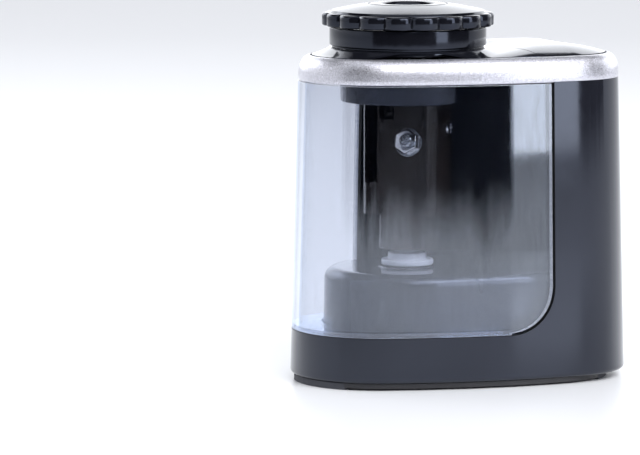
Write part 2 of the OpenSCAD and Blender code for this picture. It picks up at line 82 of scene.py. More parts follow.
# Sizes taken from the frame, in millimetres
NOSE_X = CAD_LOW.x / MM
TAIL_X = CAD_HIGH.x / MM
HALF_WIDTH = CAD_HIGH.y / MM
TOP_Z = CAD_HIGH.z / MM
RING_LOW, RING_HIGH = box_mm("dial_collar")
AXIS_X = (RING_LOW.x + RING_HIGH.x) / 2
COLLAR_R = (RING_HIGH.x - RING_LOW.x) / 2
COLLAR_Z = RING_LOW.z
BAND_Z = box_mm("silver_band")[0].z
DIAL_R = (box_mm("dial")[1].x - box_mm("dial")[0].x) / 2
DOME_Z = box_mm("gear_cover")[1].z
SKIRT_Z = box_mm("housing")[0].z
FLOOR_Z = box_mm("shavings_bin")[0].z - 0.15
DIAL_Z = RING_HIGH.z + 0.3

# Sizes of the visible shapes, in millimetres
RIM_Z = 82.4  # top of the silver band
RIM_INSET = 5.1  # inner edge of the silver band's top, inside the footprint
DECK_INSET = 5.65  # edge of the deck and the door, a fine seam inside the band
CROWN_INSET = 5.15  # where the deck starts to rise
CROWN_RUN = 14  # over which distance it rises
FLARE_RUN = 4.8  # width of the flare that climbs to the collar
DOOR_SEAM_X = 74.2  # middle of the circle that the door's seam follows
DOOR_SEAM_R = 64.0
DOOR_SEAM_HALF = 0.12  # half the width of that seam
COVER_R = 21.3  # nose of the gear cover
COVER_TAIL = 1.2  # how far the gear cover runs on past the window edge
CEILING_Z = 79.2  # top of the bin's space
HOLE_R = 16.4  # inside of the collar


# ---- settings ----


def length(name, description, default):
    """A length property, in metres"""
    return bpy.props.FloatProperty(
        name=name, description=description, default=default, unit="LENGTH")


def colour(name, default):
    """A colour property"""
    return bpy.props.FloatVectorProperty(
        name=name, description=f"Colour of the {name.lower()}", subtype="COLOR",
        size=3, min=0, max=1, default=default)


class SharpenerSizes(bpy.types.PropertyGroup):
    """Sizes that a user may change"""

    side_radius: length("Side bow", "Radius that the long sides bow out with", 0.130)
    tail_radius: length("Rear corner", "Corner radius of the rear", 0.020)
    widest_x: length("Widest section", "Where the body is widest", 0.013)
    wall: length("Shell wall", "Wall of the black shell", 0.002)
    bin_wall: length("Bin wall", "Wall of the clear bin", 0.0018)
    window_x: length("Window edge", "Where the window ends at the rear", 0.0164)
    window_corner: length("Window corner", "Radius of the lower window corner", 0.012)
    far_edge_x: length("Far wall edge", "Where the black far wall ends at the nose", -0.0175)
    seam_gap: length("Seam", "Gap between the bin and the shell", 0.0007)
    lobe_radius: length("Lobe radius", "Radius of one finger lobe", 0.0044)
    dome_edge: length("Gear cover edge", "Rounding of the gear cover", 0.0030)
    crown: length("Deck crown", "Rise of the deck above its rim", 0.0023)
    draft: bpy.props.FloatProperty(
        name="Draft", description="How far the body draws in for each unit of height",
        default=0.0275)
    lobes: bpy.props.IntProperty(
        name="Lobes", description="Finger lobes round the dial", default=18, min=8, max=30)


class SharpenerColours(bpy.types.PropertyGroup):
    """Colours that a user may change"""

    shell: colour("Black shell", (0.008, 0.0085, 0.012))
    silver: colour("Silver band", (0.60, 0.60, 0.66))
    clear: colour("Clear bin", (0.895, 0.908, 0.94))
    smoke: colour("Smoked cutter", (0.014, 0.011, 0.010))
    nylon: colour("Coupling", (0.57, 0.59, 0.65))
    backdrop: colour("Table and backdrop", (0.78, 0.79, 0.81))


def size(name):
    """A size property in millimetres"""
    return getattr(bpy.context.scene.sharpener_sizes, name) / MM


def tint(name):
    """A colour property with full opacity"""
    return (*getattr(bpy.context.scene.sharpener_colours, name), 1.0)


# ---- footprint of the body ----


def plan_arcs():
    """The half plan on the +Y side, as (centre x, centre y, radius, from angle, to angle)"""
    side_r = size("side_radius")
    tail_r = size("tail_radius")
    wide_x = size("widest_x")
    side_y = side_r - HALF_WIDTH
    nose_len = wide_x - NOSE_X
    nose_r = (2 * side_r * HALF_WIDTH - HALF_WIDTH**2 - nose_len**2) / (2 * (side_r - nose_len))
    nose_cx = NOSE_X + nose_r
    nose_turn = math.atan2(side_y, nose_cx - wide_x)
    tail_cx = TAIL_X - tail_r
    tail_cy = math.sqrt((side_r - tail_r) ** 2 - (tail_cx - wide_x) ** 2) - side_y
    tail_turn = math.atan2(side_y + tail_cy, tail_cx - wide_x)
    return [
        (tail_cx, tail_cy, tail_r, 0, tail_turn),
        (wide_x, -side_y, side_r, tail_turn, nose_turn),
        (nose_cx, 0, nose_r, nose_turn, math.pi),
    ]


def half_length():
    """Length of the half plan, from the rear middle to the nose"""
    arcs = plan_arcs()
    return arcs[0][1] + sum(r * (b - a) for _, _, r, a, b in arcs)


def plan_point(along, inset):
    """A point of the plan drawn in by inset; along is negative on the window side"""
    half = half_length()
    along = (along + half) % (2 * half) - half
    side = -1 if along < 0 else 1
    rest = abs(along)
    arcs = plan_arcs()
    if rest < arcs[0][1]:
        return Vector((TAIL_X - inset, side * rest))
    rest -= arcs[0][1]
    for cx, cy, r, a, b in arcs:
        if rest <= r * (b - a) or b == math.pi:
            turn = min(a + rest / r, b)
            return Vector((cx + (r - inset) * math.cos(turn),
                           side * (cy + (r - inset) * math.sin(turn))))
        rest -= r * (b - a)
    raise ValueError("the plan has no such point")


def along_at(x):
    """How far along the half plan its point stands at x"""
    low, high = 0.0, half_length()
    for _ in range(40):
        middle = (low + high) / 2
        if plan_point(middle, 0).x > x:
            low = middle
        else:
            high = middle
    return (low + high) / 2


def body_inset(z):
    """The body draws in a little towards the top"""
    return 0.1 + bpy.context.scene.sharpener_sizes.draft * z


def body_point(along, z, extra=0.0):
    """A point on the outer surface of the body, drawn in by extra"""
    flat = plan_point(along, body_inset(z) + extra)
    return Vector((flat.x, flat.y, z))


def depth_inside(x, y):
    """How far a point stands inside the footprint"""
    tail, side, nose = plan_arcs()
    y = abs(y)
    gaps = [side[2] - math.hypot(x - side[0], y - side[1])]
    if x < nose[0]:
        gaps.append(nose[2] - math.hypot(x - nose[0], y))
    if x > tail[0] and y > tail[1]:
        gaps.append(tail[2] - math.hypot(x - tail[0], y - tail[1]))
    gaps.append(TAIL_X - x)
    return min(gaps)


def smooth_step(low, high, value):
    """0 below low, 1 above high, and a soft step between"""
    share = min(max((value - low) / (high - low), 0), 1)
    return share * share * (3 - 2 * share)


# ---- mesh helpers ----


def spread(low, high, steps):
    """Evenly spaced values, both ends included"""
    return [low + (high - low) * k / steps for k in range(steps + 1)]


def closed_skin(rows):
    """A closed belt through rows of points, and the edges of its last row"""
    bm = bmesh.new()
    column = bm.verts.layers.int.new("column")
    ring = bmesh.ops.create_circle(bm, segments=len(rows[0]), radius=1)["verts"]
    for number, vert in enumerate(ring):
        vert[column] = number
        vert.co = rows[0][number]
    edges = bm.edges[:]
    for row in rows[1:]:
        made = bmesh.ops.extrude_edge_only(bm, edges=edges)["geom"]
        fresh = {item for item in made if isinstance(item, bmesh.types.BMVert)}
        for vert in fresh:
            vert.co = row[vert[column]]
        edges = [item for item in made if isinstance(item, bmesh.types.BMEdge)
                 and item.verts[0] in fresh and item.verts[1] in fresh]
    return bm, edges


def open_sheet(rows):
    """An open sheet through rows of points"""
    bm = bmesh.new()
    across, up = len(rows[0]) - 1, len(rows) - 1
    grid = bmesh.ops.create_grid(bm, x_segments=across, y_segments=up, size=1)["verts"]
    for vert in grid:
        i = round((vert.co.x + 1) / 2 * across)
        k = round((vert.co.y + 1) / 2 * up)
        vert.co = rows[k][i]
    return bm


def lathe(profile, steps=128):
    """Spins a profile of (radius, height) points about the cutter axis"""
    bm = bmesh.new()
    chain = [bm.verts.new((AXIS_X + r, 0, z)) for r, z in profile]
    edges = [bm.edges.new(pair) for pair in zip(chain, chain[1:])]
    bmesh.ops.spin(bm, geom=chain + edges, cent=(AXIS_X, 0, 0), axis=(0, 0, 1),
                   angle=2 * math.pi, steps=steps, use_merge=True, use_duplicate=False)
    return bm


def closed(profile):
    """The profile with its first point again at the end"""
    return profile + profile[:1]


def rounded(points, radius, steps=4):
    """Rounds the corners of a closed profile of (radius, height) points"""
    result = []
    count = len(points)
    for i, point in enumerate(points):
        here = Vector(point)
        before = Vector(points[i - 1]) - here
        after = Vector(points[(i + 1) % count]) - here
        reach = min(radius, before.length * 0.45, after.length * 0.45)
        start = here + before.normalized() * reach
        end = here + after.normalized() * reach
        for t in spread(0, 1, steps):
            bend = start * (1 - t) ** 2 + here * 2 * t * (1 - t) + end * t * t
            result.append(tuple(bend))
    return result


def face_outwards(bm, centre):
    """Merges doubles and turns the faces outwards, away from centre where it is given"""
    bmesh.ops.remove_doubles(bm, verts=bm.verts, dist=0.004)
    bmesh.ops.dissolve_degenerate(bm, edges=bm.edges, dist=0.002)
    bmesh.ops.recalc_face_normals(bm, faces=bm.faces)
    if centre is None:
        return
    lean = sum((face.calc_center_median() - Vector(centre)).dot(face.normal) * face.calc_area()
               for face in bm.faces)
    if lean < 0:
        bmesh.ops.reverse_faces(bm, faces=bm.faces)


def thicken(piece, wall):
    """Gives a skin its wall, inwards, and keeps the result as the mesh

    The last material of the piece goes to the rim faces.
    """
    thick = piece.modifiers.new("Wall", "SOLIDIFY")
    thick.thickness = wall * MM
    thick.offset = -1
    thick.material_offset_rim = len(piece.data.materials) - 1
    graph = bpy.context.evaluated_depsgraph_get()
    solid = bpy.data.meshes.new_from_object(piece.evaluated_get(graph))
    piece.modifiers.clear()
    skin = piece.data
    piece.data = solid
    bpy.data.meshes.remove(skin)
    solid.name = piece.name


def mesh_object(bm, name, materials):
    """Turns mesh data into an object of the scene"""
    mesh = bpy.data.meshes.new(name)
    bm.to_mesh(mesh)
    bm.free()
    for material in materials:
        mesh.materials.append(material)
    piece = bpy.data.objects.new(name, mesh)
    bpy.context.scene.collection.objects.link(piece)
    return piece


def finish_piece(bm, name, body, material, replaces=(), centre=(0, 0, 45),
                 wall=0.0, edge=0.0, angle=35, rim=None):
    """Makes the object: metres, thickness and soft edges, then its place in the frame

    The faces of a skin turn away from centre, which is None for a closed mesh. wall is the
    thickness, edge the width of the soft edges and rim the material of the rim faces.
    """
    face_outwards(bm, centre)
    bmesh.ops.scale(bm, vec=(MM, MM, MM), verts=bm.verts)
    for face in bm.faces:
        face.smooth = True
    piece = mesh_object(bm, name, [material, rim] if rim else [material])
    if wall:
        thicken(piece, wall)
    piece.data.set_sharp_from_angle(angle=math.radians(angle))
    if edge:
        soft = piece.modifiers.new("Soft edges", "BEVEL")
        soft.width = edge * MM
        soft.segments = 2
        soft.limit_method = "ANGLE"
        soft.angle_limit = math.radians(angle)
        soft.harden_normals = True
    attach(piece, body)
    if replaces:
        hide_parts(*replaces)
    return piece


# ---- materials ----


def add_node(tree, kind, values=None, **settings):
    """Adds a shader node, with values or links for its inputs"""
    item = tree.nodes.new(kind)
    for key, value in settings.items():
        setattr(item, key, value)
    for key, value in (values or {}).items():
        if isinstance(value, bpy.types.NodeSocket):
            tree.links.new(value, item.inputs[key])
        else:
            item.inputs[key].default_value = value
    return item


class Finish:
    """A material with its object coordinates in millimetres and a principled shader"""

    def __init__(self, name, **values):
        self.material = bpy.data.materials.new(name)
        self.material.use_nodes = True
        self.tree = self.material.node_tree
        self.tree.nodes.clear()
        self.output = self.add("ShaderNodeOutputMaterial")
        self.shader = self.add("ShaderNodeBsdfPrincipled", values)
        self.tree.links.new(self.shader.outputs[0], self.output.inputs["Surface"])
        self.place = self.add("ShaderNodeTexCoord").outputs["Object"]

    def add(self, kind, values=None, **settings):
        """Adds a node to this material"""
        return add_node(self.tree, kind, values, **settings)

    def scaled(self, x, y, z):
        """Coordinates with this many pattern units to the millimetre"""
        mapping = self.add("ShaderNodeMapping", {
            "Vector": self.place, "Scale": (x / MM, y / MM, z / MM)})
        return mapping.outputs[0]

    def noise(self, scale, detail=3.0, rough=0.5, distortion=0.0):
        """Noise, with scale in pattern units to the millimetre, one value or three"""
        scale = scale if isinstance(scale, tuple) else (scale, scale, scale)
        return self.add("ShaderNodeTexNoise", {
            "Vector": self.scaled(*scale), "Scale": 1.0, "Detail": detail,
            "Roughness": rough, "Distortion": distortion}).outputs[0]

    def ramp(self, factor, low, high, start=0.35, end=0.65):
        """Blends two colours between two values of a pattern"""
        ramp = self.add("ShaderNodeValToRGB", {"Fac": factor})
        ramp.color_ramp.elements[0].position = start
        ramp.color_ramp.elements[0].color = low
        ramp.color_ramp.elements[1].position = end
        ramp.color_ramp.elements[1].color = high
        return ramp.outputs[0]

    def span(self, factor, low, high, start=0.3, end=0.7):
        """Maps a pattern to a span of values"""
        return self.add("ShaderNodeMapRange", {
            "Value": factor, "From Min": start, "From Max": end,
            "To Min": low, "To Max": high}).outputs[0]

    def bump(self, height, strength, distance):
        """A bump whose depth is in millimetres"""
        return self.add("ShaderNodeBump", {
            "Height": height, "Strength": strength, "Distance": distance * MM}).outputs[0]

    def link(self, **sockets):
        """Links patterns to the shader, named with underscores for spaces"""
        for key, value in sockets.items():
            self.tree.links.new(value, self.shader.inputs[key.replace("_", " ")])

    def mix_with(self, other, factor, first=None):
        """Blends the surface with another shader"""
        both = self.add("ShaderNodeMixShader", {
            0: factor, 1: (first or self.shader).outputs[0], 2: other.outputs[0]})
        self.tree.links.new(both.outputs[0], self.output.inputs["Surface"])


def shade(base, factor):
    """A colour made lighter or darker"""
    return (*(min(channel * factor, 1) for channel in base[:3]), 1.0)


def gloss_plastic(name, base, rough=0.07, spread_rough=0.05, peel=0.012, ior=1.53, coat=0.2):
    """Moulded gloss plastic: faint flow marks, soft haze, hairlines and orange peel"""
    made = Finish(name, **{
        "IOR": ior, "Specular Tint": (0.68, 0.77, 1.0, 1.0), "Coat Weight": coat,
        "Coat Roughness": 0.05})
    flow = made.noise((0.03, 0.03, 0.008), 4, 0.6, 0.8)
    haze = made.noise(0.16, 5, 0.6)
    hairline = made.noise((0.6, 0.6, 9.0), 2, 0.5)
    base_colour = made.ramp(flow, shade(base, 0.8), shade(base, 1.35))
    dull = made.add("ShaderNodeMath", {
        0: made.span(haze, rough, rough + spread_rough),
        1: made.span(hairline, 0.0, 0.04, 0.62, 0.8)}, operation="ADD")
    made.link(Base_Color=base_colour, Roughness=dull.outputs[0],
              Normal=made.bump(made.noise(0.45, 2), 0.25, peel))
    return made.material


def satin_plastic(name, base, rough, grain=1.6, depth=0.03):
    """Moulded satin plastic with a fine spark-eroded grain"""
    made = Finish(name, **{"IOR": 1.47})
    flow = made.noise(0.07, 4, 0.6, 0.5)
    fine = made.noise(grain, 3, 0.6)
    made.link(Base_Color=made.ramp(flow, shade(base, 0.85), shade(base, 1.12)),
              Roughness=made.span(fine, rough - 0.06, rough + 0.08),
              Normal=made.bump(fine, 0.35, depth))
    return made.material


def metal(name, base, rough, lay, depth=0.01, wear=0.85):
    """Metal with a ground lay along one direction and darker worn patches"""
    made = Finish(name, **{"Metallic": 1.0, "Anisotropic": 0.3})
    lines = made.noise(lay, 4, 0.65)
    patch = made.noise(0.25, 4, 0.6)
    made.link(Base_Color=made.ramp(patch, shade(base, wear), shade(base, 1.06)),
              Roughness=made.span(lines, rough - 0.08, rough + 0.12),
              Normal=made.bump(lines, 0.5, depth))
    return made.material


def sparkle_paint():
    """Silver paint with fine metal flakes under a clear coat"""
    base = tint("silver")
    made = Finish("silver_sparkle", **{
        "Metallic": 0.85, "Coat Weight": 0.4, "Coat Roughness": 0.08, "IOR": 1.5})
    flakes = made.add("ShaderNodeTexVoronoi", {"Vector": made.scaled(8, 8, 8), "Scale": 1.0})
    cloud = made.noise(0.09, 3)
    glint = made.add("ShaderNodeSeparateColor", {"Color": flakes.outputs["Color"]})
    tone = made.ramp(glint.outputs[0], shade(base, 0.8), shade(base, 1.4), 0.35, 1.0)
    depth = made.ramp(cloud, shade((1, 1, 1), 0.95), shade((1, 1, 1), 1.0))
    mixed = made.add("ShaderNodeMix", {0: 1.0, 6: tone, 7: depth},
                     data_type="RGBA", blend_type="MULTIPLY")
    made.link(Base_Color=mixed.outputs[2],
              Roughness=made.span(glint.outputs[1], 0.24, 0.46, 0.0, 1.0),
              Normal=made.bump(glint.outputs[2], 0.35, 0.03))
    return made.material


def clear_plastic():
    """Clear styrene: sight through it, gloss on it, and painted shade: grey bands in its
    see-through colour where the wall turns away from view
    """
    made = Finish("clear_styrene")
    haze = made.noise(0.12, 4, 0.6)
    scuff = made.noise((0.8, 0.8, 0.12), 3, 0.6)
    facing = made.add("ShaderNodeLayerWeight", {"Blend": 0.5}).outputs["Facing"]
    base = tint("clear")
    # Painted shade: the see-through colour turns grey in bands as the wall turns away from view,
    # standing in for light bent and reflected in the wall
    bend = made.add("ShaderNodeValToRGB", {"Fac": facing})
    stops = bend.color_ramp.elements
    stops[0].position, stops[0].color = 0.45, shade(base, 1.0)
    stops[1].position, stops[1].color = 1.0, shade(base, 1.02)
    for position, factor in ((0.66, 0.97), (0.76, 0.84), (0.84, 0.98), (0.93, 0.9)):
        stops.new(position).color = shade(base, factor)
    see = made.add("ShaderNodeBsdfTransparent", {"Color": bend.outputs[0]})
    gloss = made.add("ShaderNodeBsdfGlossy", {
        "Color": (0.84, 0.90, 1.0, 1), "Roughness": made.span(haze, 0.02, 0.07)})
    steep = made.add("ShaderNodeMath", {0: facing, 1: 5.0}, operation="POWER").outputs[0]
    mirror = made.add("ShaderNodeMapRange", {
        "Value": steep, "To Min": 0.092, "To Max": 0.9}).outputs[0]
    streak = made.add("ShaderNodeMath", {0: mirror, 1: made.span(scuff, 0.9, 1.15)},
                      operation="MULTIPLY")
    made.mix_with(gloss, streak.outputs[0], first=see)
    made.tree.nodes.remove(made.shader)
    return made.material


def clear_edge():
    """The cut edge of the clear wall, with a painted highlight: a pale colour for the light that
    the edge gathers
    """
    made = Finish("clear_edge", **{"IOR": 1.5, "Alpha": 0.7})
    lines = made.noise((0.4, 0.4, 3.0), 3, 0.6)
    made.link(Base_Color=made.ramp(lines, (0.62, 0.65, 0.74, 1), (0.92, 0.94, 1.0, 1)),
              Roughness=made.span(lines, 0.08, 0.2),
              Normal=made.bump(lines, 0.2, 0.01))
    return made.material


def smoked_plastic():
    """Smoked styrene of the cutter holder: nearly black, with some light through it"""
    base = tint("smoke")
    made = Finish("smoked_styrene", **{"IOR": 1.5})
    flow = made.noise(0.1, 4, 0.6, 0.4)
    haze = made.noise(0.3, 3, 0.6)
    made.link(Base_Color=made.ramp(flow, shade(base, 0.7), shade(base, 1.5)),
              Roughness=made.span(haze, 0.10, 0.22),
              Normal=made.bump(made.noise(0.7, 2), 0.2, 0.01))
    see = made.add("ShaderNodeBsdfTransparent", {"Color": (0.50, 0.43, 0.40, 1)})
    made.mix_with(see, 0.12)
    return made.material


# Satin finishes as (colour, roughness, grain, depth of the grain)
SATINS = {
    # shadow_black is painted shadow: a near-black matte for the shell's rim faces, so the seam
    # round the window reads as a dark line of shade
    "shadow_black": ((0.002, 0.002, 0.003), 0.7),
    "base_black": ((0.017, 0.018, 0.021), 0.42),
    "foot_rubber": ((0.055, 0.058, 0.070), 0.72, 3.0, 0.06),
    "acetal": ((0.74, 0.71, 0.62), 0.36),
    "end_cap_blue": ((0.03, 0.11, 0.26), 0.4),
    "ceramic": ((0.70, 0.25, 0.05), 0.3),
    "switch_blue": ((0.02, 0.09, 0.27), 0.34),
    "switch_red": ((0.5, 0.03, 0.02), 0.34),
    "wire_red": ((0.45, 0.02, 0.01), 0.45),
    "wire_black": ((0.02, 0.02, 0.02), 0.45),
}

# Metals as (colour, roughness, fineness of the lay along x, y and z, depth, worn tone)
METALS = {
    "shaft_steel": ((0.56, 0.57, 0.60), 0.22, (6, 6, 0.1)),
    "motor_steel": ((0.45, 0.47, 0.50), 0.34, (0.12, 4, 4)),
    "blade_steel": ((0.42, 0.43, 0.45), 0.30, (0.2, 0.2, 7)),
    "zinc_plate": ((0.80, 0.81, 0.84), 0.16, (1.2, 1.2, 1.2), 0.006),
    "contact_plate": ((0.70, 0.71, 0.74), 0.20, (0.3, 4, 4)),
    "bronze": ((0.48, 0.28, 0.10), 0.36, (3, 3, 3), 0.03, 0.7),
    "brass": ((0.66, 0.44, 0.13), 0.26, (3, 3, 3)),
}


def finishes():
    """Every finish by name, made once"""
    store = bpy.data.materials
    if "gloss_black" not in store:
        black = tint("shell")
        gloss_plastic("gloss_black", black)
        gloss_plastic("dial_black", shade(black, 0.7), 0.08, 0.05, 0.015, 1.45, 0.0)
        gloss_plastic("gear_cover_black", shade(black, 1.9), 0.10, 0.07)
        gloss_plastic("cell_wrap", (0.05, 0.15, 0.35, 1), 0.14)
        satin_plastic("nylon", tint("nylon"), 0.30, 1.0, 0.02)
        for name, values in SATINS.items():
            satin_plastic(name, *values)
        for name, values in METALS.items():
            metal(name, *values)
        sparkle_paint()
        clear_plastic()
        clear_edge()
        smoked_plastic()
    return store


# ---- black shell ----


def window_edge(z, gap=0.0):
    """Rear edge of the window at a height: upright, with a round lower corner"""
    radius = size("window_corner")
    middle_z = FLOOR_Z + radius
    edge_x = size("window_x")
    if z >= middle_z:
        return edge_x - gap
    reach = math.sqrt(max((radius - gap) ** 2 - (middle_z - z) ** 2, 0))
    return edge_x - radius + reach


def shell_columns():
    """The plan's stations as (along, top height), from the rear middle round both ways"""
    radius = size("window_corner")
    edge_x = size("window_x")
    top = BAND_Z + 0.3
    far = along_at(size("far_edge_x"))
    near = along_at(edge_x)
    corner_end = along_at(edge_x - radius)
    half = half_length()
    columns = [(a, top) for a in spread(0, far, 60)]
    columns += [(a, FLOOR_Z) for a in spread(far + 0.03, half, 34)]
    columns += [(2 * half - a, FLOOR_Z) for a in spread(half, corner_end, 30)[1:-1]]
    for turn in spread(90, 0, 14):
        x = edge_x - radius + radius * math.cos(math.radians(turn))
        z = FLOOR_Z + radius - radius * math.sin(math.radians(turn))
        columns.append((2 * half - along_at(x), z))
    columns += [(2 * half - a, top) for a in spread(near - 0.03, 0, 30)[:-1]]
    return columns


class SHARPENER_OT_shell(bpy.types.Operator):
    """Black skirt and rear column, with the floor and the wall behind the bin"""

    bl_idname = "sharpener.shell"
    bl_label = "Black shell"

    def execute(self, context):
        paint = finishes()["gloss_black"]
        columns = shell_columns()
        rows = [[body_point(a, SKIRT_Z + dz, extra) for a, _ in columns]
                for dz, extra in ((0, 0.9), (0.1, 0.5), (0.4, 0.16), (0.9, 0.0))]
        rows.append([body_point(a, FLOOR_Z, 0) for a, _ in columns])
        for share in (0.25, 0.5, 0.75, 1):
            rows.append([body_point(a, FLOOR_Z + share * (top - FLOOR_Z)) for a, top in columns])
        bm, _ = closed_skin(rows)
        # The shell's rim faces get the painted shadow of the seam
        finish_piece(bm, "black_shell", "base", paint, ["housing"],
                     wall=size("wall"), rim=finishes()["shadow_black"])
        self.floor(paint)
        self.partition(paint)
        return {"FINISHED"}

    def floor(self, paint):
        """The floor between the skirt and the gear cover"""
        z = FLOOR_Z - 0.02
        around = [2 * half_length() * share for share in spread(0, 1, 96)[:-1]]
        outer = [body_point(along, z, size("wall") - 0.2) for along in around]
        inner = [cover_point(nearest_cover_share(point), -0.4, z) for point in outer]
        bm, _ = closed_skin([outer, inner])
        for face in bm.faces:
            if face.normal.z < 0:
                face.normal_flip()
        finish_piece(bm, "bin_floor", "base", paint,
                     centre=(0, 0, 0), wall=1.8)

    def partition(self, paint):
        """The wall between the bin and the batteries, further back on the far side"""
        x = size("window_x")
        reach = HALF_WIDTH - 2.6
        bm = open_sheet([[Vector((x + 0.3, -reach, z)), Vector((x + 4.4, reach, z))]
                         for z in (FLOOR_Z - 0.5, BAND_Z)])
        finish_piece(bm, "rear_partition", "base", paint,
                     centre=(60, 0, 45), wall=1.6, edge=0.2)


# ---- gear cover ----


def cover_point(share, inset, z):
    """A point round the gear cover: a half circle at the nose and two straight sides"""
    radius = COVER_R - inset
    rear = size("window_x") + COVER_TAIL
    straight = rear - AXIS_X
    bend = math.pi * COVER_R
    run = share * (2 * straight + bend)
    if run < straight:
        return Vector((rear - run, radius, z))
    if run < straight + bend:
        turn = math.pi / 2 + (run - straight) / COVER_R
        return Vector((AXIS_X + radius * math.cos(turn), radius * math.sin(turn), z))
    return Vector((AXIS_X + run - straight - bend, -radius, z))


def nearest_cover_share(point):
    """Where round the gear cover a point of the skirt looks"""
    straight = size("window_x") + COVER_TAIL - AXIS_X
    bend = math.pi * COVER_R
    total = 2 * straight + bend
    if point.x > AXIS_X:
        run = max(straight - (point.x - AXIS_X), 0)
        return run / total if point.y > 0 else (total - run) / total
    turn = math.atan2(point.y, point.x - AXIS_X) % (2 * math.pi)
    return (straight + (turn - math.pi / 2) * COVER_R) / total


class SHARPENER_OT_gear_cover(bpy.types.Operator):
    """Gear cover with a round nose and a soft top edge"""

    bl_idname = "sharpener.gear_cover"
    bl_label = "Gear cover"

    def execute(self, context):
        edge = size("dome_edge")
        shares = spread(0, 1, 110)
        profile = [(0.0, FLOOR_Z - 6), (0.0, FLOOR_Z), (0.25, DOME_Z - edge)]
        for turn in spread(0, 90, 8)[1:]:
            a = math.radians(turn)
            profile.append((0.25 + edge * (1 - math.cos(a)), DOME_Z - edge + edge * math.sin(a)))
        profile += [(edge + 1.5, DOME_Z), (9.0, DOME_Z), (15.0, DOME_Z)]
        rows = [[cover_point(share, inset, z) for share in shares] for inset, z in profile]
        bm, last = closed_skin(rows)
        bmesh.ops.edgeloop_fill(bm, edges=last)
        finish_piece(bm, "gear_cover_dome", "base",
                     finishes()["gear_cover_black"], ["gear_cover"], centre=(0, 0, 10))
        boss_profile = [(2.1, DOME_Z - 1), (7.6, DOME_Z - 1), (7.4, DOME_Z + 0.25),
                        (2.1, DOME_Z + 0.25)]
        boss = lathe(closed(rounded(boss_profile, 0.3)), 64)
        finish_piece(boss, "shaft_boss", "base",
                     finishes()["gear_cover_black"], centre=(AXIS_X, 0, DOME_Z))
        return {"FINISHED"}


# ---- band, deck and door ----


def deck_z(x, y):
    """Height of the deck: a crown that rises from the rim, and a flare up to the collar"""
    inside = min(max(depth_inside(x, y) - CROWN_INSET, 0), CROWN_RUN) / CROWN_RUN
    crown = size("crown") * (1 - (1 - inside) ** 2)
    away = math.hypot(x - AXIS_X, y)
    base = RIM_Z + crown * (0.4 + 0.6 * smooth_step(COLLAR_R, COLLAR_R + 14, away))
    flare = min(max((COLLAR_R + FLARE_RUN - away) / FLARE_RUN, 0), 1) ** 2
    return base + (COLLAR_Z - 0.15 - base) * flare


def seam_corner(inset):
    """Angle on the seam circle, and station of the plan, where the seam meets the rim"""
    half = half_length()
    low, high = 0.0, half
    for _ in range(40):
        middle = (low + high) / 2
        point = plan_point(middle, inset)
        if math.hypot(point.x - DOOR_SEAM_X, point.y) < DOOR_SEAM_R:
            low = middle
        else:
            high = middle
    point = plan_point(low, inset)
    return math.atan2(point.y, point.x - DOOR_SEAM_X), low


def seam_point(turn, gap):
    """A point beside the door seam"""
    reach = DOOR_SEAM_R + gap
    return Vector((DOOR_SEAM_X + reach * math.cos(turn), reach * math.sin(turn)))


class SHARPENER_OT_band(bpy.types.Operator):
    """Silver band that rounds over into the deck"""

    bl_idname = "sharpener.band"
    bl_label = "Silver band"

    def execute(self, context):
        half = half_length()
        stations = spread(-half, half, 180)[:-1]
        low = body_inset(BAND_Z)
        levels = [(BAND_Z + 1.2, low + 1.4), (BAND_Z + 0.05, low + 1.4),
                  (BAND_Z + 0.05, low + 0.35), (BAND_Z + 0.12, low + 0.12),
                  (BAND_Z + 0.35, low - 0.02), (BAND_Z + 1.3, low)]
        start_z = BAND_Z + 2.0
        for turn in spread(0, 90, 12):
            a = math.radians(turn)
            levels.append((start_z + (RIM_Z - start_z) * math.sin(a),
                           low + 0.02 + (RIM_INSET - low) * (1 - math.cos(a))))
        levels += [(RIM_Z - 0.12, 5.16), (RIM_Z - 1.0, 4.9)]
        rows = [[Vector((*plan_point(a, inset), z)) for a in stations] for z, inset in levels]
        bm, _ = closed_skin(rows)
        finish_piece(bm, "silver_band_skin", "base",
                     finishes()["silver_sparkle"], ["silver_band"], angle=60)
        return {"FINISHED"}


